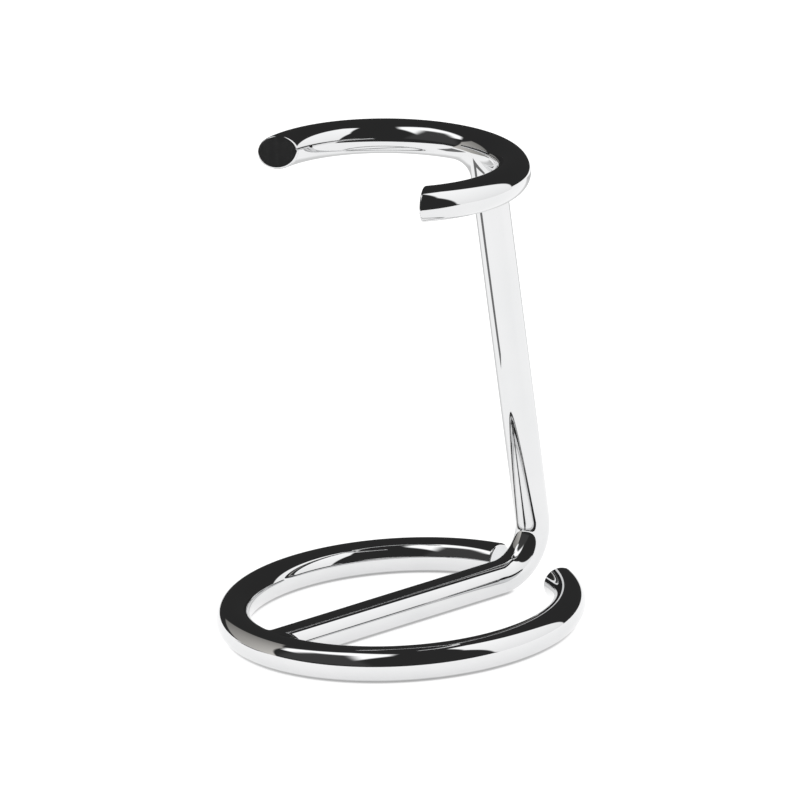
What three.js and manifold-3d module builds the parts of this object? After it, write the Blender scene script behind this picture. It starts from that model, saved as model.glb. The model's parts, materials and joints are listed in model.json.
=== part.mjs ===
// A stand that a shaving brush hangs from, bent and brazed from one size of round bar:
// an open base ring, an upright whose foot crosses the base ring and leaves it through
// the ring's gap, and an open holder ring that grips the neck of the brush.
//
// Millimetres, +Z up. The origin is on the table at the centre of the base ring. The foot
// of the upright runs along +Y, and the holder ring's mouth faces -Y.
import * as THREE from "three";
import { mergeVertices } from "three/addons/utils/BufferGeometryUtils.js";
import Module from "manifold-3d";

const wasm = await Module();
wasm.setup();

// Driving dimensions. Every ring radius and every position is that of the bar's centreline.
const ROD_RADIUS = 3;
const BRAZE_GAP = 0.25; // left between the braze metal and each bar it joins
const BRAZE_SEAM = 0.5; // thickness of the braze metal between a bar's end and a ring

const BASE_RING_RADIUS = 28.9;
const BASE_GAP_LEFT = 14.2; // degrees from +Y to each end of the base ring
const BASE_GAP_RIGHT = 21.3;

const POST_FOOT = 30.8; // +Y place where the lines of the foot and the post would cross
const POST_BEND_RADIUS = 8.3;

const HOLDER_RING_RADIUS = 21.5;
const HOLDER_SETBACK = 2.3; // +Y place of the holder ring's centre
const HOLDER_HEIGHT = 80.9;
const HOLDER_MOUTH_LEFT = 67.8; // degrees from the direction of the mouth to each end
const HOLDER_MOUTH_RIGHT = 67.8;
const HOLDER_END_SLANT = 29; // degrees that each end face is turned in towards the other
const HOLDER_PITCH = 2.5; // degrees that the mouth is raised
const HOLDER_ROLL = 2.2; // degrees that the -X side is raised

// From a ring's centreline to the end face of the bar that joins it.
const ROD_END = ROD_RADIUS + BRAZE_GAP + BRAZE_SEAM + BRAZE_GAP;

const BASE_FILLET = 2.6; // reach of the braze fillet along the foot
const HOLDER_FILLET = 4.8; // reach of the braze fillet down the post

const BRAZE_WRAP = 0.3; // how far round the ring the braze metal reaches, in bar radii
const BRAZE_CROWN = 0.92; // half height of the braze metal, in bar radii

const END_ALLOWANCE = 5; // degrees of ring bent beyond each end before it is cut slanting
const END_BLOCK = 4 * ROD_RADIUS; // side of the block that cuts it off

const SECTION_SIDES = 24;
const STEP_LENGTH = 2.4; // along a bent bar
const FILLET_STEPS = 6;

const chrome = () => new THREE.MeshStandardMaterial({ color: 0xd4d6d8, roughness: 0.06, metalness: 1 });
const braze = () => new THREE.MeshStandardMaterial({ color: 0xc6c9cc, roughness: 0.12, metalness: 1 });

const radians = THREE.MathUtils.degToRad;

// A regular outline whose sides touch a circle of this radius, one of them square to the
// vertical, so that a bar lies on the table on a true flat.
function section(radius) {
  const corner = radius / Math.cos(Math.PI / SECTION_SIDES);
  const points = [];
  for (let i = 0; i < SECTION_SIDES; i++) {
    const angle = ((i + 0.5) / SECTION_SIDES) * 2 * Math.PI;
    points.push(new THREE.Vector2(corner * Math.cos(angle), corner * Math.sin(angle)));
  }
  return new THREE.Shape(points);
}

// A level arc about a centre, by angles measured from +Y towards -X.
class RingArc extends THREE.Curve {
  constructor(radius, height, start, end) {
    super();
    Object.assign(this, { radius, height, start, end });
  }

  getPoint(t, target = new THREE.Vector3()) {
    const angle = this.start + (this.end - this.start) * t;
    return target.set(-this.radius * Math.sin(angle), this.radius * Math.cos(angle), this.height);
  }
}

// A quarter turn or so from a heading along +Y towards +Z.
class UpwardBend extends THREE.Curve {
  constructor(start, radius, turn) {
    super();
    Object.assign(this, { start, radius, turn });
  }

  getPoint(t, target = new THREE.Vector3()) {
    const angle = this.turn * t;
    const forward = this.radius * Math.sin(angle);
    const rise = this.radius * (1 - Math.cos(angle));
    return target.set(this.start.x, this.start.y + forward, this.start.z + rise);
  }
}

const baseArc = new RingArc(
  BASE_RING_RADIUS,
  ROD_RADIUS,
  radians(BASE_GAP_LEFT),
  radians(360 - BASE_GAP_RIGHT),
);
const holderArc = new RingArc(
  HOLDER_RING_RADIUS,
  0,
  radians(-180 + HOLDER_MOUTH_RIGHT),
  radians(180 - HOLDER_MOUTH_LEFT),
);
const holderBlank = new RingArc(
  HOLDER_RING_RADIUS,
  0,
  holderArc.start - radians(END_ALLOWANCE),
  holderArc.end + radians(END_ALLOWANCE),
);
const holderTilt = new THREE.Euler(-radians(HOLDER_PITCH), radians(HOLDER_ROLL), 0);
const holderPlace = new THREE.Matrix4().makeRotationFromEuler(holderTilt);
holderPlace.setPosition(0, HOLDER_SETBACK, HOLDER_HEIGHT);

// Where the post's line meets the holder ring's centreline.
const holderJoint = new THREE.Vector3(0, HOLDER_RING_RADIUS, 0).applyMatrix4(holderPlace);

function sweep(path, radius) {
  const steps = Math.ceil(path.getLength() / STEP_LENGTH);
  return new THREE.ExtrudeGeometry(section(radius), { steps, extrudePath: path });
}

// The upright's centreline from one end face to the other: foot, bend and post.
function uprightPath() {
  const start = new THREE.Vector3(0, -BASE_RING_RADIUS + ROD_END, ROD_RADIUS);
  const corner = new THREE.Vector3(0, POST_FOOT, ROD_RADIUS);
  const up = holderJoint.clone().sub(corner).normalize();
  const end = holderJoint.clone().addScaledVector(up, -ROD_END);
  const turn = up.angleTo(new THREE.Vector3(0, 1, 0));
  const tangentLength = POST_BEND_RADIUS * Math.tan(turn / 2);
  const bendStart = corner.clone().setY(corner.y - tangentLength);
  const bendEnd = corner.clone().addScaledVector(up, tangentLength);
  const path = new THREE.CurvePath();
  path.add(new THREE.LineCurve3(start, bendStart));
  path.add(new UpwardBend(bendStart, POST_BEND_RADIUS, turn));
  path.add(new THREE.LineCurve3(bendEnd, end));
  return path;
}

function toSolid(geometry) {
  const bare = geometry.clone();
  bare.deleteAttribute("normal");
  bare.deleteAttribute("uv");
  const merged = mergeVertices(bare, 1e-4);
  const mesh = new wasm.Mesh({
    numProp: 3,
    vertProperties: new Float32Array(merged.attributes.position.array),
    triVerts: new Uint32Array(merged.index.array),
  });
  return new wasm.Manifold(mesh);
}

function toGeometry(solid) {
  const mesh = solid.getMesh();
  const geometry = new THREE.BufferGeometry();
  geometry.setAttribute("position", new THREE.BufferAttribute(mesh.vertProperties, 3));
  geometry.setIndex(new THREE.BufferAttribute(mesh.triVerts, 1));
  geometry.computeVertexNormals();
  return geometry;
}

// Braze metal before the bars are cut out of it. +Y runs from the ring's centreline along
// the joining bar, and X along the ring. The flare is flattened in Z, so that the metal
// stays flush with the bars' crowns and shows only in the two corners beside the joint.
function brazeFlare(reach) {
  const widest = ROD_RADIUS + reach;
  const outline = new THREE.Path();
  outline.moveTo(0, BRAZE_WRAP * ROD_RADIUS);
  outline.lineTo(widest, BRAZE_WRAP * ROD_RADIUS);
  outline.lineTo(widest, ROD_RADIUS);
  outline.absarc(widest, widest, reach, -Math.PI / 2, -Math.PI, true);
  outline.lineTo(0, widest);
  const profile = outline.getPoints(FILLET_STEPS);
  const flare = new THREE.LatheGeometry(profile, SECTION_SIDES);
  return flare.scale(1, 1, (BRAZE_CROWN * ROD_RADIUS) / widest);
}

// The metal that joins a bar to a ring, with a gap to both of them.
function brazeMetal(reach, joint, along, ring) {
  const turn = new THREE.Quaternion().setFromUnitVectors(new THREE.Vector3(0, 1, 0), along);
  const flare = brazeFlare(reach).applyQuaternion(turn).translate(joint.x, joint.y, joint.z);
  const barStart = joint.clone().addScaledVector(along, ROD_END - BRAZE_GAP);
  const barEnd = joint.clone().addScaledVector(along, ROD_END + 2 * reach + ROD_RADIUS);
  const bar = sweep(new THREE.LineCurve3(barStart, barEnd), ROD_RADIUS + BRAZE_GAP);
  return toGeometry(toSolid(flare).subtract(toSolid(ring)).subtract(toSolid(bar)));
}

function named(name, geometry, material) {
  const mesh = new THREE.Mesh(geometry, material);
  mesh.name = name;
  return mesh;
}

function baseRing() {
  return named("base_ring", sweep(baseArc, ROD_RADIUS), chrome());
}

function uprightRod() {
  return named("upright_rod", sweep(uprightPath(), ROD_RADIUS), chrome());
}

// What is cut off the holder ring at one end: sense is 1 at the arc's last end, -1 at its
// first. The block stands beyond the slanting end face, on the ring's centreline.
function endBlock(angle, sense) {
  const block = new THREE.BoxGeometry(END_BLOCK, END_BLOCK, END_BLOCK);
  block.translate((-sense * END_BLOCK) / 2, 0, 0);
  block.rotateZ(sense * radians(HOLDER_END_SLANT));
  block.translate(0, HOLDER_RING_RADIUS, 0);
  return toSolid(block.rotateZ(angle));
}

function holderRing() {
  const blank = toSolid(sweep(holderBlank, ROD_RADIUS));
  const leftCut = endBlock(holderArc.end, 1);
  const rightCut = endBlock(holderArc.start, -1);
  const ring = toGeometry(blank.subtract(leftCut).subtract(rightCut));
  return named("holder_ring", ring.applyMatrix4(holderPlace), chrome());
}

function baseBraze() {
  const joint = new THREE.Vector3(0, -BASE_RING_RADIUS, ROD_RADIUS);
  const ring = sweep(baseArc, ROD_RADIUS + BRAZE_GAP);
  const metal = brazeMetal(BASE_FILLET, joint, new THREE.Vector3(0, 1, 0), ring);
  return named("base_braze_fillet", metal, braze());
}

function holderBraze() {
  const down = new THREE.Vector3(0, POST_FOOT, ROD_RADIUS).sub(holderJoint).normalize();
  const ring = sweep(holderArc, ROD_RADIUS + BRAZE_GAP).applyMatrix4(holderPlace);
  const metal = brazeMetal(HOLDER_FILLET, holderJoint, down, ring);
  return named("holder_braze_fillet", metal, braze());
}

const stand = new THREE.Group();
stand.add(baseRing(), uprightRod(), holderRing(), baseBraze(), holderBraze());

export default stand;
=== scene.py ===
"""A polished chrome stand for a shaving brush, on a white table in a soft studio.

The stand is three lengths of one round bar: an open base ring, an upright and an open
holder ring. Two braze fillets join them. Metres, +Z up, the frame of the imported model.
"""
import json
import math

import bpy
import numpy as np
from mathutils import Matrix, Vector


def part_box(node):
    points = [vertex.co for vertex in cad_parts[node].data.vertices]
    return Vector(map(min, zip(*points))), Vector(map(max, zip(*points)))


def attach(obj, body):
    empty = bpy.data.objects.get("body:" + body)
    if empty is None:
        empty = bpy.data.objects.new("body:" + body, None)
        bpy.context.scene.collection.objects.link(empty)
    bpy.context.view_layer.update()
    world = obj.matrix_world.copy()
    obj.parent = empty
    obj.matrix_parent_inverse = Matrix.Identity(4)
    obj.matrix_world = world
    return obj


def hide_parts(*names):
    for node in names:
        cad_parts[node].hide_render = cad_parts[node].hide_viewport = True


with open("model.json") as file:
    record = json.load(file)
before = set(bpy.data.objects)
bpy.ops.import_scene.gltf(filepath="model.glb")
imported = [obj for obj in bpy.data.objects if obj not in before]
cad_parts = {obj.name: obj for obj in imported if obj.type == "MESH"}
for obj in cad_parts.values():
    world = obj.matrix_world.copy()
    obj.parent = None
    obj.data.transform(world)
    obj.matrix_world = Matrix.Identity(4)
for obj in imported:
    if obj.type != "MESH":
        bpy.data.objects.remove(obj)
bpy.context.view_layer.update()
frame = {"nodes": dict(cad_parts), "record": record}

MM = 0.001
SECTION_SIDES = 72  # of a bar
ROW_STEP = 0.5 * MM  # between two sections along a bar
END_ROUND = 0.42 * MM  # radius of the broken edge at a cut end
END_ROUND_STEPS = 6
END_STRETCH = 3.5 * MM  # length of ring that is shaped to its end face
END_ROWS = 12
FACE_RINGS = (0.97, 0.7, 0.4, 0.12)  # of a cut face, in shares of its width
BEND_RADIUS = 8.3 * MM  # of the upright's centreline
JOINT_BITE = 0.05 * MM  # depth of a joined bar's end in the ring's surface
JOINT_REACH = 8 * MM  # length of bar that is shaped to its joint
JOINT_ROWS = 12
PLUG_RINGS = (0.6, 0.2)  # of a joined bar's hidden end, in shares of its width
BASE_BLEND = 2.2 * MM  # radius of the braze fillets
HOLDER_BLEND = 4.4 * MM
BLEND_COLUMNS = 90  # round half a bar
BLEND_TURN = math.radians(88)  # from the middle of a corner to where its fillet thins out
BLEND_ROWS = 16  # across the fillet
SKIRT = 0.25 * MM  # how far the fillet runs on under a bar's surface
SKIRT_DEPTH = 0.03 * MM
ROOT_DEPTH = 0.4 * MM  # how far below that its hidden side is
POST_STRAIGHT = (0.3, 0.85)  # a straight stretch of the post, in shares of its height
EDGE_BAND = 0.98  # share of the bar's radius beyond which a point of a ring is outermost
WALK_STEPS = 20  # to find where a line of a ring's surface meets its end face
HALVINGS = 50  # to find how far along a bar something touches a ring


# ---------------------------------------------------------------- sizes from the frame


def node_vertices(node):
    mesh = frame["nodes"][node].data
    found = np.empty(len(mesh.vertices) * 3)
    mesh.vertices.foreach_get("co", found)
    return found.reshape(-1, 3)


def mount(name):
    return next(m for m in frame["record"]["mounts"] if m["name"] == name)


def width(node, axis):
    low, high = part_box(node)
    return high[axis] - low[axis]


def unit(vector):
    return vector / np.linalg.norm(vector, axis=-1, keepdims=True)


ROD = width("upright_rod", 0) / 2  # the bar's radius


class Ring:
    """An open ring of bar: its centreline's circle and its two end faces.

    Angles run from back towards left, seen from above. Each end face is a place on the
    centreline, an angle and the way that the face looks.
    """

    def __init__(self, node, centre, up, back, radius):
        self.centre, self.up, self.back, self.radius = centre, up, back, radius
        self.left = np.cross(up, back)
        spokes = node_vertices(node) - centre
        angles = np.arctan2(spokes @ self.left, spokes @ back)
        reaches = np.hypot(spokes @ self.left, spokes @ back)
        outer = self.limits(angles[reaches > radius + EDGE_BAND * ROD])
        inner = self.limits(angles[reaches < radius - EDGE_BAND * ROD])
        self.ends = [
            self.end_face(outer[0], inner[0], -1),
            self.end_face(outer[1], inner[1], 1),
        ]
        self.start, self.end = (angle for angle, _ in self.ends)

    @staticmethod
    def limits(angles):
        """The first and the last angle of a run that has one wide gap in it."""
        angles = np.sort(angles % math.tau)
        gaps = np.diff(np.append(angles, angles[0] + math.tau))
        widest = int(gaps.argmax())
        last = angles[widest]
        first = angles[(widest + 1) % len(angles)]
        return (first - math.tau if first > last else first), last

    def end_face(self, outer, inner, sense):
        """An end face's angle and outlook, from the angles of its outermost and innermost
        edges. sense is 1 at the ring's last end and -1 at its first.
        """
        outermost = (self.radius + ROD) * self.spoke(outer)
        innermost = (self.radius - ROD) * self.spoke(inner)
        across = unit(outermost - innermost)
        middle = (outermost + innermost) / 2
        middle = middle + across * (self.radius - np.linalg.norm(middle))
        angle = math.atan2(middle @ self.left, middle @ self.back)
        whole_turns = round((outer - angle) / math.tau)
        return angle + math.tau * whole_turns, sense * np.cross(self.up, across)

    def place(self, angle):
        return self.centre + self.radius * self.spoke(angle)

    def heading(self, angle):
        return self.spoke(angle + math.pi / 2)

    def spoke(self, angle):
        backward = np.multiply.outer(np.cos(angle), self.back)
        leftward = np.multiply.outer(np.sin(angle), self.left)
        return backward + leftward

    def from_centreline(self, points):
        """The way from the nearest place on the centreline's circle to each point."""
        way = points - self.centre
        height = (way @ self.up)[..., None] * self.up
        return way - unit(way - height) * self.radius


def base_ring_place():
    centre = np.array([0, 0, ROD])
    radius = width("base_ring", 0) / 2 - ROD
    return Ring("base_ring", centre, np.array([0, 0, 1.0]), np.array([0, 1.0, 0]), radius)


def holder_ring_place():
    """The holder ring's tilt and place come from the seat on its crown above the post."""
    seat = mount("brush_seat")
    up = unit(np.array(seat["axis"]))
    back = unit(np.array([0, up[2], -up[1]]))
    tilted_width = np.cross(back, up)[0]
    radius = (width("holder_ring", 0) / 2 - ROD) / tilted_width
    centre = np.array(seat["pos_m"]) - up * ROD - back * radius
    return Ring("holder_ring", centre, up, back, radius)


BASE = base_ring_place()
HOLDER = holder_ring_place()
BASE_JOINT = BASE.centre - BASE.back * BASE.radius
HOLDER_JOINT = HOLDER.centre + HOLDER.back * HOLDER.radius


def post_direction():
    """Up the post, from the middle of its straight stretch to the joint on top."""
    points = node_vertices("upright_rod")
    heights = points[:, 2] / HOLDER_JOINT[2]
    stretch = points[(heights > POST_STRAIGHT[0]) & (heights < POST_STRAIGHT[1])]
    return unit(HOLDER_JOINT - stretch.mean(axis=0) * [0, 1, 1])


FOOT_ALONG = np.array([0, 1.0, 0])
POST_UP = post_direction()


# ---------------------------------------------------------------- meshes


def make_piece(name, points, normals, faces, cut_faces=()):
    """A mesh object with its own exact normals. The cut faces take the second material."""
    mesh = bpy.data.meshes.new(name)
    mesh.from_pydata([tuple(p) for p in points], [], faces)
    mesh.update()
    mesh.shade_smooth()
    mesh.normals_split_custom_set_from_vertices([tuple(n) for n in normals])
    piece = bpy.data.objects.new(name, mesh)
    bpy.context.scene.collection.objects.link(piece)
    for index in cut_faces:
        mesh.polygons[index].material_index = 1
    return piece


def grid_faces(first, rows, columns):
    """Quads between rows of a closed tube, whose corners are numbered from first."""
    faces = []
    for row in range(rows - 1):
        for column in range(columns):
            a = first + row * columns + column
            b = first + row * columns + (column + 1) % columns
            faces.append((a, b, b + columns, a + columns))
    return faces


class Bar:
    """Sections along a bar, gathered row by row, and closed at both ends."""

    def __init__(self):
        self.rows, self.normals = [], []
        angles = np.arange(SECTION_SIDES) * math.tau / SECTION_SIDES
        self.circle = np.stack([np.cos(angles), np.sin(angles)], axis=1)

    def radial(self, along, side):
        """Outward directions round the section, from side towards along x side."""
        return self.circle @ np.stack([side, np.cross(along, side)])

    def add(self, points, normals):
        self.rows.append(points)
        self.normals.append(normals)

    def sweep(self, places, headings, side):
        for place, heading in zip(places, headings):
            out = self.radial(heading, side)
            self.add(place + ROD * out, out)

    def arc_row(self, ring, angles):
        """One section round a ring, with an angle for every line of the bar's surface: its
        points, their outward directions and the ring's headings there.
        """
        heading = ring.heading(angles)
        outward = np.cross(heading, ring.up)
        out = self.circle[:, :1] * ring.up + self.circle[:, 1:] * outward
        return ring.place(angles) + ROD * out, out, heading

    def cut_end(self, ring, sense):
        """The last stretch of a ring: sections that lean over to the end face, its rounded
        edge and the face. sense is 1 at the ring's last end and -1 at its first.
        """
        angle, outlook = ring.ends[0 if sense < 0 else 1]
        middle = ring.place(angle)
        reach = np.zeros(SECTION_SIDES)
        for _ in range(WALK_STEPS):
            points, _, heading = self.arc_row(ring, angle + reach)
            reach -= ((points - middle) @ outlook) / (heading @ outlook) / ring.radius
        begin = angle - sense * END_STRETCH / ring.radius
        finish = angle + reach - sense * END_ROUND / ring.radius
        rows = []
        for share in np.linspace(0, 1, END_ROWS)[1:]:
            rows.append(self.arc_row(ring, begin + (finish - begin) * share)[:2])

        rim, out, _ = self.arc_row(ring, angle + reach)
        start = rows[-1][0]
        to_middle = unit(middle - rim)
        for step in range(1, END_ROUND_STEPS + 1):
            share = step / END_ROUND_STEPS
            points = (1 - share) ** 2 * start + 2 * share * (1 - share) * rim
            points = points + share**2 * (rim + END_ROUND * to_middle)
            turn = share * math.pi / 2
            rows.append((points, unit(math.cos(turn) * out + math.sin(turn) * outlook)))
        edge = rows[-1][0]
        face = np.tile(outlook, (SECTION_SIDES, 1))
        for share in FACE_RINGS:
            rows.append((middle + share * (edge - middle), face))
        for points, normals in rows[::sense]:
            self.add(points, normals)

    def joined_end(self, joint, along, side, ring, sense):
        """The bar's last stretch, shaped to the ring that it meets. along leads off the
        joint. sense is 1 at the bar's last end and -1 at its first.
        """
        out = self.radial(along * -sense, side)
        reach = coped_reach(joint, along, out, ring)
        rows = []
        for share in np.linspace(0, 1, JOINT_ROWS):
            length = JOINT_REACH + (reach - JOINT_REACH) * share
            rows.append((joint + length[:, None] * along + ROD * out, out))
        for share in PLUG_RINGS:
            points = joint + along * (ROD - JOINT_BITE) + share * ROD * out
            rows.append((points, np.tile(-along, (SECTION_SIDES, 1))))
        for points, normals in rows[::sense]:
            self.add(points, normals)

    def build(self, name, cut_start=False, cut_end=False):
        points = np.concatenate(self.rows)
        normals = np.concatenate(self.normals)
        rows = len(self.rows)
        faces = grid_faces(0, rows, SECTION_SIDES)
        last = (rows - 1) * SECTION_SIDES
        faces.append(tuple(range(SECTION_SIDES))[::-1])
        faces.append(tuple(range(last, last + SECTION_SIDES)))
        cut = []
        face_rows = len(FACE_RINGS)
        if cut_start:
            cut += list(range(face_rows * SECTION_SIDES)) + [len(faces) - 2]
        if cut_end:
            first = (rows - 1 - face_rows) * SECTION_SIDES
            cut += list(range(first, first + face_rows * SECTION_SIDES)) + [len(faces) - 1]
        return make_piece(name, points, normals, faces, cut)


def coped_reach(joint, along, out, ring):
    """How near to the joint each line of the bar's surface comes before it meets the ring."""
    return clear_reach(joint, along, ROD * out, ring, ROD - JOINT_BITE, JOINT_REACH)


def clear_reach(joint, along, offsets, ring, distance, limit):
    """How far along from the joint each offset point is this distance from a ring's
    centreline. It is nearer at the joint and farther at the limit.
    """
    near = np.zeros(len(offsets))
    far = np.full(len(offsets), limit)
    for _ in range(HALVINGS):
        middle = (near + far) / 2
        points = joint + middle[:, None] * along + offsets
        inside = np.linalg.norm(ring.from_centreline(points), axis=1) < distance
        near = np.where(inside, middle, near)
        far = np.where(inside, far, middle)
    return far


def ring_bar(name, ring):
    """A bar bent round its ring, with both ends cut."""
    bar = Bar()
    margin = END_STRETCH / ring.radius
    count = int(ring.radius * (ring.end - ring.start) / ROW_STEP)
    angles = np.linspace(ring.start + margin, ring.end - margin, count)
    bar.cut_end(ring, -1)
    for angle in angles:
        bar.add(*bar.arc_row(ring, np.full(SECTION_SIDES, angle))[:2])
    bar.cut_end(ring, 1)
    return bar.build(name, cut_start=True, cut_end=True)


def upright_bar(name):
    """Foot, bend and post in one bar, coped to a ring at each end."""
    corner = HOLDER_JOINT - POST_UP * (HOLDER_JOINT[2] - ROD) / POST_UP[2]
    turn = math.acos(POST_UP @ FOOT_ALONG)
    tangent_length = BEND_RADIUS * math.tan(turn / 2)
    bend_start = corner - FOOT_ALONG * tangent_length
    bend_end = corner + POST_UP * tangent_length
    side = np.array([1.0, 0, 0])

    foot_start = BASE_JOINT + FOOT_ALONG * JOINT_REACH
    foot = line_places(foot_start, bend_start)
    steps = int(BEND_RADIUS * turn / ROW_STEP * 2)
    angles = np.linspace(0, turn, steps)[:, None]
    inward = np.cross(side, FOOT_ALONG)
    forward = np.sin(angles) * FOOT_ALONG
    bend = bend_start + BEND_RADIUS * (forward + (1 - np.cos(angles)) * inward)
    bend_heading = np.cos(angles) * FOOT_ALONG + np.sin(angles) * inward
    post = line_places(bend_end, HOLDER_JOINT - POST_UP * JOINT_REACH)

    bar = Bar()
    bar.joined_end(BASE_JOINT, FOOT_ALONG, side, BASE, -1)
    bar.sweep(foot[1:], np.tile(FOOT_ALONG, (len(foot) - 1, 1)), side)
    bar.sweep(bend[1:], bend_heading[1:], side)
    bar.sweep(post[1:-1], np.tile(POST_UP, (len(post) - 2, 1)), side)
    bar.joined_end(HOLDER_JOINT, -POST_UP, side, HOLDER, 1)
    return bar.build(name)


def line_places(start, end):
    count = max(2, int(np.linalg.norm(end - start) / (2 * ROW_STEP)))
    return start + np.linspace(0, 1, count)[:, None] * (end - start)


def braze_fillet(name, joint, along, ring, blend):
    """Braze metal in the two corners beside a joint: the surface of a ball rolled round it."""
    spoke = unit(joint - ring.centre)
    tangent = np.cross(ring.up, spoke)
    side = unit(tangent - (tangent @ along) * along)
    crown = np.cross(along, side)
    turns = np.linspace(-BLEND_TURN, BLEND_TURN, BLEND_COLUMNS)[:, None]
    points, normals, faces = [], [], []
    for sign in (1, -1):
        out = np.cos(turns) * sign * side + np.sin(turns) * crown
        shell, shell_normals = blend_shell(joint, along, out, ring, blend)
        first = sum(len(p) for p in points)
        columns, rows = shell.shape[:2]
        last = first + (columns - 1) * rows
        found = grid_faces(first, columns, rows)
        found.append(tuple(range(first, first + rows))[::-1])
        found.append(tuple(range(last, last + rows)))
        if sign > 0:
            found = [face[::-1] for face in found]
        faces += found
        points.append(shell.reshape(-1, 3))
        normals.append(shell_normals.reshape(-1, 3))
    return make_piece(name, np.concatenate(points), np.concatenate(normals), faces)


def blend_shell(joint, along, out, ring, blend):
    """Closed sections of one fillet, a column for each direction round the bar. The hidden
    side of each section runs through the bar and the ring.
    """
    ball = ROD + blend
    reach = clear_reach(joint, along, ball * out, ring, ball, 4 * ball)
    centres = joint + reach[:, None] * along + ball * out
    from_ring = unit(ring.from_centreline(centres))
    opening = np.arccos(np.clip((from_ring * out).sum(axis=1), -1, 1))[:, None]
    sections, section_normals = [], []
    for share in np.linspace(0, 1, BLEND_ROWS):
        normal = unit(np.sin((1 - share) * opening) * from_ring + np.sin(share * opening) * out)
        sections.append(centres - blend * normal)
        section_normals.append(normal)
    bar_skirt = sections[-1] + SKIRT * along - SKIRT_DEPTH * out
    ring_way = unit(sections[0] - sections[1])
    ring_skirt = sections[0] + SKIRT * ring_way - SKIRT_DEPTH * from_ring
    bar_root = bar_skirt - ROOT_DEPTH * out
    ring_root = ring_skirt - ROOT_DEPTH * from_ring
    between = unit(from_ring + out)
    heel = centres - (blend / np.cos(opening / 2) + ROOT_DEPTH) * between
    sections = [heel, ring_root, ring_skirt] + sections + [bar_skirt, bar_root]
    section_normals = [between, from_ring, from_ring] + section_normals + [out, out]
    return np.stack(sections, axis=1), np.stack(section_normals, axis=1)


# ---------------------------------------------------------------- materials


class Nodes:
    """A material's nodes. Scales are in object space, so a noise's scale is per metre."""

    def __init__(self, name):
        self.material = bpy.data.materials.new(name)
        self.material.use_nodes = True
        self.tree = self.material.node_tree
        self.shader = self.tree.nodes["Principled BSDF"]
        self.coordinates = self.add("ShaderNodeTexCoord").outputs["Object"]

    def add(self, kind, **settings):
        node = self.tree.nodes.new(kind)
        for key, value in settings.items():
            setattr(node, key, value)
        return node

    def link(self, source, target):
        self.tree.links.new(source, target)

    def mapped(self, scale, turn):
        mapping = self.add("ShaderNodeMapping")
        mapping.inputs["Scale"].default_value = scale
        mapping.inputs["Rotation"].default_value = turn
        self.link(self.coordinates, mapping.inputs["Vector"])
        return mapping.outputs["Vector"]

    def noise(self, scale, detail, vector=None):
        noise = self.add("ShaderNodeTexNoise")
        noise.inputs["Scale"].default_value = scale
        noise.inputs["Detail"].default_value = detail
        self.link(vector or self.coordinates, noise.inputs["Vector"])
        return noise.outputs["Fac"]

    def ramp(self, source, stops):
        ramp = self.add("ShaderNodeValToRGB")
        elements = ramp.color_ramp.elements
        while len(elements) < len(stops):
            elements.new(1)
        for element, (position, colour) in zip(elements, stops):
            element.position = position
            element.color = (*colour, 1)
        self.link(source, ramp.inputs["Fac"])
        return ramp.outputs["Color"]

    def grade(self, source, stops, socket):
        """Gives one of the shader's sockets the colours of a ramp."""
        self.link(self.ramp(source, stops), self.shader.inputs[socket])

    def maths(self, operation, first, second):
        node = self.add("ShaderNodeMath", operation=operation)
        self.link(first, node.inputs[0])
        if isinstance(second, float):
            node.inputs[1].default_value = second
        else:
            self.link(second, node.inputs[1])
        return node.outputs[0]

    def along(self, direction, origin):
        """How far a point of the object is from origin in a direction."""
        product = self.add("ShaderNodeVectorMath", operation="DOT_PRODUCT")
        self.link(self.coordinates, product.inputs[0])
        product.inputs[1].default_value = direction
        return self.maths("SUBTRACT", product.outputs["Value"], direction.dot(origin))

    def bump(self, height, strength, distance):
        """Raises the shader's surface by height."""
        bump = self.add("ShaderNodeBump")
        bump.inputs["Strength"].default_value = strength
        bump.inputs["Distance"].default_value = distance
        self.link(height, bump.inputs["Height"])
        self.link(bump.outputs["Normal"], self.shader.inputs["Normal"])


def grey(value):
    return (value, value, value)


def chrome(name, ripple, haze):
    """Polished plate with a soft ripple and fine wiping marks."""
    nodes = Nodes(name)
    nodes.shader.inputs["Metallic"].default_value = 1.0
    tone = nodes.noise(scale=90, detail=3)
    nodes.grade(tone, [(0.3, (0.69, 0.695, 0.70)), (0.7, (0.72, 0.72, 0.725))], "Base Color")
    slanting = nodes.mapped(scale=(2600, 2600, 500), turn=(0.5, 0.3, 0.9))
    wiping = nodes.noise(scale=1, detail=3, vector=slanting)
    nodes.grade(wiping, [(0.35, grey(haze * 0.6)), (0.72, grey(haze * 1.6))], "Roughness")
    nodes.bump(nodes.noise(scale=150, detail=1), strength=1, distance=ripple)
    return nodes.material


def cut_face(name):
    """A sawn and lightly polished end, with faint parallel marks."""
    nodes = Nodes(name)
    nodes.shader.inputs["Metallic"].default_value = 1.0
    tone = nodes.noise(scale=400, detail=3)
    nodes.grade(tone, [(0.3, (0.64, 0.65, 0.66)), (0.7, (0.70, 0.705, 0.71))], "Base Color")
    parallel = nodes.mapped(scale=(3500, 3500, 60), turn=(0, 0.05, 0))
    marks = nodes.noise(scale=1, detail=2, vector=parallel)
    nodes.grade(marks, [(0.3, grey(0.06)), (0.7, grey(0.13))], "Roughness")
    nodes.bump(marks, strength=0.2, distance=0.01 * MM)
    return nodes.material


# ---------------------------------------------------------------- the stand


def finish_piece(piece, node, slot_name, *materials):
    for material in materials:
        piece.data.materials.append(material)
    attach(piece, "root")
    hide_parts(node)


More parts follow.
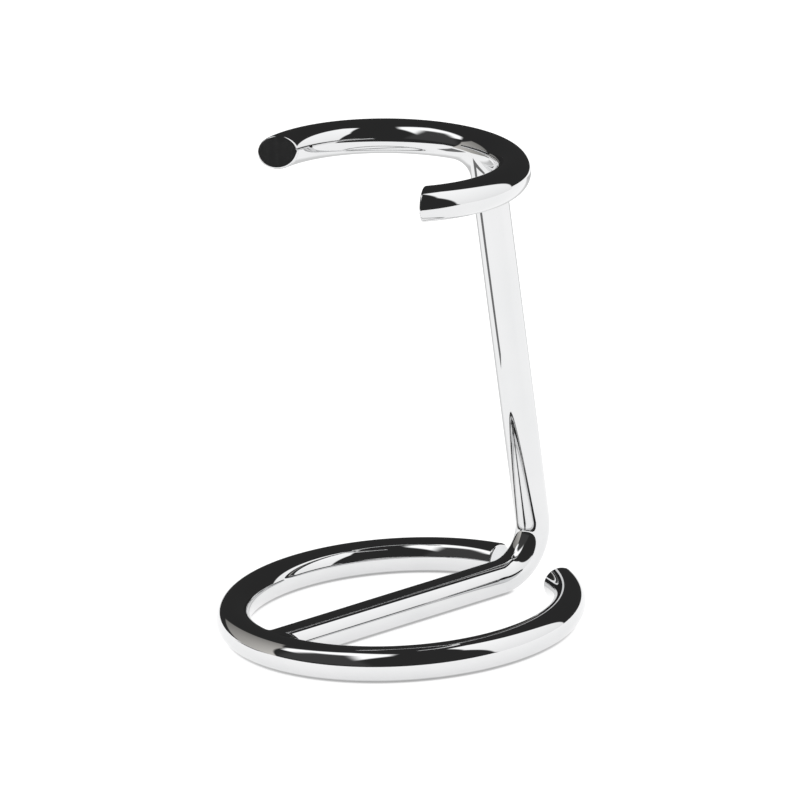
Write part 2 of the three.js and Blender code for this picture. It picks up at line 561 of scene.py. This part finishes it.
def build_stand():
    bar_chrome = chrome("polished_chrome", ripple=0.0006 * MM, haze=0.02)
    braze_chrome = chrome("chrome_over_braze", ripple=0.0025 * MM, haze=0.035)
    ends = cut_face("cut_end_chrome")
    finish_piece(ring_bar("base_ring_bar", BASE), "base_ring", "chrome_bar", bar_chrome, ends)
    finish_piece(upright_bar("upright_bar"), "upright_rod", "chrome_bar", bar_chrome)
    finish_piece(ring_bar("holder_ring_bar", HOLDER), "holder_ring", "chrome_bar", bar_chrome, ends)
    base = braze_fillet("base_braze", BASE_JOINT, FOOT_ALONG, BASE, BASE_BLEND)
    finish_piece(base, "base_braze_fillet", "chrome_braze", braze_chrome)
    holder = braze_fillet("holder_braze", HOLDER_JOINT, -POST_UP, HOLDER, HOLDER_BLEND)
    finish_piece(holder, "holder_braze_fillet", "chrome_braze", braze_chrome)


# ---------------------------------------------------------------- the studio

VIEW_AZIMUTH = math.radians(52.2)  # from in front of the stand towards its right
VIEW_ELEVATION = math.radians(17.36)
VIEW_ROLL = math.radians(-3.23)
VIEW_DISTANCE = 1368 * MM
VIEW_AIM = Vector((1.15, 1.48, 40.44)) * MM
LENS_MM = 360.5

AHEAD = Vector((-math.sin(VIEW_AZIMUTH), math.cos(VIEW_AZIMUTH), 0))
RIGHT = Vector((math.cos(VIEW_AZIMUTH), math.sin(VIEW_AZIMUTH), 0))
WHITE_LEVEL = 1.42  # radiance of the white room
DARK_LEVEL = 0.03  # of the black cloth
ROOM_RADIUS = 3.0
ROOM_ROWS = 24
ROOM_COLUMNS = 48
TABLE_GLOW = 0.82  # radiance that the table top gives off itself
CONTACT_SHADE_REACH = 0.45 * MM  # how near to the stand the table top glows less: painted contact shade
CONTACT_SHADE_LOSS = 0.55  # how much less the painted contact shade lets it glow, at most
TABLE_AHEAD = 0.44  # from the stand to the table's edges, as the camera sees them
TABLE_BEHIND = 0.163
TABLE_LEFT = 0.36
TABLE_RIGHT = 0.9
CARD_LIFT = 0.5 * MM


def add_camera():
    lens = bpy.data.cameras.new("camera")
    lens.lens = LENS_MM
    camera = bpy.data.objects.new("camera", lens)
    bpy.context.scene.collection.objects.link(camera)
    look = AHEAD * math.cos(VIEW_ELEVATION) - Vector((0, 0, math.sin(VIEW_ELEVATION)))
    turn = look.to_track_quat("-Z", "Y").to_matrix() @ Matrix.Rotation(VIEW_ROLL, 3, "Z")
    camera.matrix_world = Matrix.Translation(VIEW_AIM - look * VIEW_DISTANCE) @ turn.to_4x4()
    bpy.context.scene.camera = camera


def add_light():
    """A white room all round, which lights the table and is the picture's background."""
    world = bpy.data.worlds.new("white_room")
    world.use_nodes = True
    background = world.node_tree.nodes["Background"]
    background.inputs["Color"].default_value = (1, 1, 1, 1)
    background.inputs["Strength"].default_value = WHITE_LEVEL
    bpy.context.scene.world = world
    bpy.context.scene.view_settings.view_transform = "Standard"


def studio_way(azimuth, elevation):
    """A direction: azimuth in degrees from straight ahead of the camera towards its right."""
    a, e = math.radians(azimuth), math.radians(elevation)
    return (RIGHT * math.sin(a) + AHEAD * math.cos(a)) * math.cos(e) + Vector((0, 0, math.sin(e)))


def emitter(name, level):
    material = bpy.data.materials.new(name)
    material.use_nodes = True
    tree = material.node_tree
    tree.nodes.remove(tree.nodes["Principled BSDF"])
    glow = tree.nodes.new("ShaderNodeEmission")
    glow.inputs["Color"].default_value = (1, 1, 1, 1)
    glow.inputs["Strength"].default_value = level
    tree.links.new(glow.outputs["Emission"], tree.nodes["Material Output"].inputs["Surface"])
    return material


def only_in_reflections(thing):
    thing.visible_camera = False
    thing.visible_diffuse = False
    thing.visible_shadow = False
    thing.visible_transmission = False
    thing.visible_volume_scatter = False


def stage_mesh(name, corners, faces, material):
    mesh = bpy.data.meshes.new(name)
    mesh.from_pydata([tuple(c) for c in corners], [], faces)
    mesh.materials.append(material)
    thing = bpy.data.objects.new(name, mesh)
    bpy.context.scene.collection.objects.link(thing)
    return thing


def soft_emitter(name, colour, level, corners, facing, soft, slope):
    """Light that fades out over the last stretch, soft, before each edge of a panel, and
    grows across it by slope, a share per metre.
    """
    nodes = Nodes(name)
    nodes.tree.nodes.remove(nodes.shader)
    inside = None
    middle = sum(corners, Vector()) / len(corners)
    for first, second in zip(corners, corners[1:] + corners[:1]):
        inward = facing.cross(second - first).normalized()
        if inward.dot(middle - first) < 0:
            inward.negate()
        depth = nodes.along(inward, first)
        inside = depth if inside is None else nodes.maths("MINIMUM", inside, depth)
    fade = nodes.add("ShaderNodeMapRange", interpolation_type="SMOOTHSTEP")
    nodes.link(inside, fade.inputs["Value"])
    fade.inputs["From Max"].default_value = soft
    glow = nodes.add("ShaderNodeEmission")
    glow.inputs["Color"].default_value = (*colour, 1)
    growth = nodes.maths("ADD", nodes.along(slope, middle), 1.0)
    bright = nodes.maths("MULTIPLY", nodes.maths("MAXIMUM", growth, 0.0), level)
    nodes.link(bright, glow.inputs["Strength"])
    mix = nodes.add("ShaderNodeMixShader")
    nodes.link(fade.outputs["Result"], mix.inputs[0])
    nodes.link(nodes.add("ShaderNodeBsdfTransparent").outputs[0], mix.inputs[1])
    nodes.link(glow.outputs[0], mix.inputs[2])
    nodes.link(mix.outputs[0], nodes.tree.nodes["Material Output"].inputs["Surface"])
    return nodes.material


def add_panel(name, corner_ways, distance, level, soft, growth=(0, 0), colour=(1, 1, 1)):
    """A flat panel that is seen only in reflections: the directions of its corners from the
    stand, how far away it is, how wide its soft border is, and how much brighter it grows
    per metre to its right and upwards.
    """
    ways = [studio_way(azimuth, elevation) for azimuth, elevation in corner_ways]
    facing = sum(ways, Vector()).normalized()
    across = facing.cross(Vector((0, 0, 1))).normalized()
    slope = across * growth[0] + across.cross(facing) * growth[1]
    corners = [way * distance / way.dot(facing) for way in ways]
    material = soft_emitter(name, colour, level, corners, facing, soft, slope)
    panel = stage_mesh(name, corners, [tuple(range(len(corners)))], material)
    only_in_reflections(panel)


def add_dark_room():
    """Black cloth all round, seen only in the chrome."""
    corners = []
    for row in range(ROOM_ROWS + 1):
        elevation = -90 + 180 * row / ROOM_ROWS
        for column in range(ROOM_COLUMNS):
            azimuth = 360 * column / ROOM_COLUMNS
            corners.append(studio_way(azimuth, elevation) * ROOM_RADIUS)
    faces = grid_faces(0, ROOM_ROWS + 1, ROOM_COLUMNS)
    cloth = emitter("dark_cloth", DARK_LEVEL)
    only_in_reflections(stage_mesh("dark_room", corners, faces, cloth))


def add_table():
    """A white table top that glows, as if lit from all round, so that the stand leaves no
    shadow; close to where the stand touches, its glow is dimmed, a painted contact shade
    that shows as a thin line. The room is as white, so no edge shows.
    """
    corners = [
        RIGHT * TABLE_RIGHT + AHEAD * TABLE_AHEAD,
        -RIGHT * TABLE_LEFT + AHEAD * TABLE_AHEAD,
        -RIGHT * TABLE_LEFT - AHEAD * TABLE_BEHIND,
        RIGHT * TABLE_RIGHT - AHEAD * TABLE_BEHIND,
    ]
    nodes = Nodes("white_table")
    tone = nodes.noise(scale=4, detail=2)
    nodes.grade(tone, [(0.3, grey(0.26)), (0.7, grey(0.29))], "Base Color")
    nodes.shader.inputs["Roughness"].default_value = 0.9
    nodes.shader.inputs["Specular IOR Level"].default_value = 0.1
    nodes.shader.inputs["Emission Color"].default_value = (1, 1, 1, 1)
    # Painted contact shade: ambient occlusion dims the table's glow close to the stand, which draws
    # a thin dark line where it touches.
    contact_shade = nodes.add("ShaderNodeAmbientOcclusion", samples=8)
    contact_shade.inputs["Distance"].default_value = CONTACT_SHADE_REACH
    varying = nodes.maths("MULTIPLY", contact_shade.outputs["AO"], CONTACT_SHADE_LOSS)
    glow = nodes.maths("ADD", varying, TABLE_GLOW - CONTACT_SHADE_LOSS)
    nodes.link(glow, nodes.shader.inputs["Emission Strength"])
    stage_mesh("table_top", corners, [(0, 1, 2, 3)], nodes.material)


def add_card(name, near_turns, far_turns, reaches, level, soft, growth=0):
    """A dim card that lies on the table and is seen only in reflections: the directions of
    its near and its far corners, how far they are from the stand, and how much brighter the
    card grows per metre towards the camera.
    """
    lift = Vector((0, 0, CARD_LIFT))
    near = [studio_way(turn, 0) * reaches[0] + lift for turn in near_turns]
    far = [studio_way(turn, 0) * reaches[1] + lift for turn in far_turns]
    corners = [near[0], far[0], far[1], near[1]]
    upwards = Vector((0, 0, 1))
    material = soft_emitter(name, (1, 1, 1), level, corners, upwards, soft, AHEAD * -growth)
    only_in_reflections(stage_mesh(name, corners, [(0, 1, 2, 3)], material))


def add_cards():
    """One card draws a dark line down the post, the other a thin grey outline round the stand."""
    add_card(
        "post_line_card",
        near_turns=(-101, -80),
        far_turns=(-99, -76),
        reaches=(68 * MM, 180 * MM),
        level=0.2,
        soft=1 * MM,
    )
    add_card(
        "outline_card",
        near_turns=(-44, 44),
        far_turns=(-40, 40),
        reaches=(50 * MM, 420 * MM),
        level=0.68,
        soft=40 * MM,
        growth=1.8,
    )


def add_panels():
    """Two softboxes, a warm grey wall close to the stand and a dim one farther away."""
    add_panel(
        "right_softbox",
        corner_ways=[(66, -4), (118, -8), (127, 4), (135, 50), (116, 74), (86, 70)],
        distance=255 * MM,
        level=1.19,
        soft=12 * MM,
        growth=(0, 0.6),
    )
    add_panel(
        "left_softbox",
        corner_ways=[(-148, 29), (-88, 34), (-76, 46), (-68, 74), (-176, 80), (-172, 66)],
        distance=900 * MM,
        level=1.45,
        soft=90 * MM,
    )
    add_panel(
        "left_wall",
        corner_ways=[(-104, -6), (-72, -2), (-37, 13), (-48, 34), (-66, 52), (-90, 42)],
        distance=210 * MM,
        level=0.42,
        soft=10 * MM,
        growth=(-4.2, -2.2),
        colour=(1, 0.97, 0.92),
    )
    add_panel(
        "left_back",
        corner_ways=[(-165, 2), (-96, 0), (-90, 56), (-130, 70)],
        distance=800 * MM,
        level=0.06,
        soft=160 * MM,
    )


def build_studio():
    add_camera()
    add_light()
    add_table()
    add_cards()
    add_dark_room()
    add_panels()


build_stand()
build_studio()
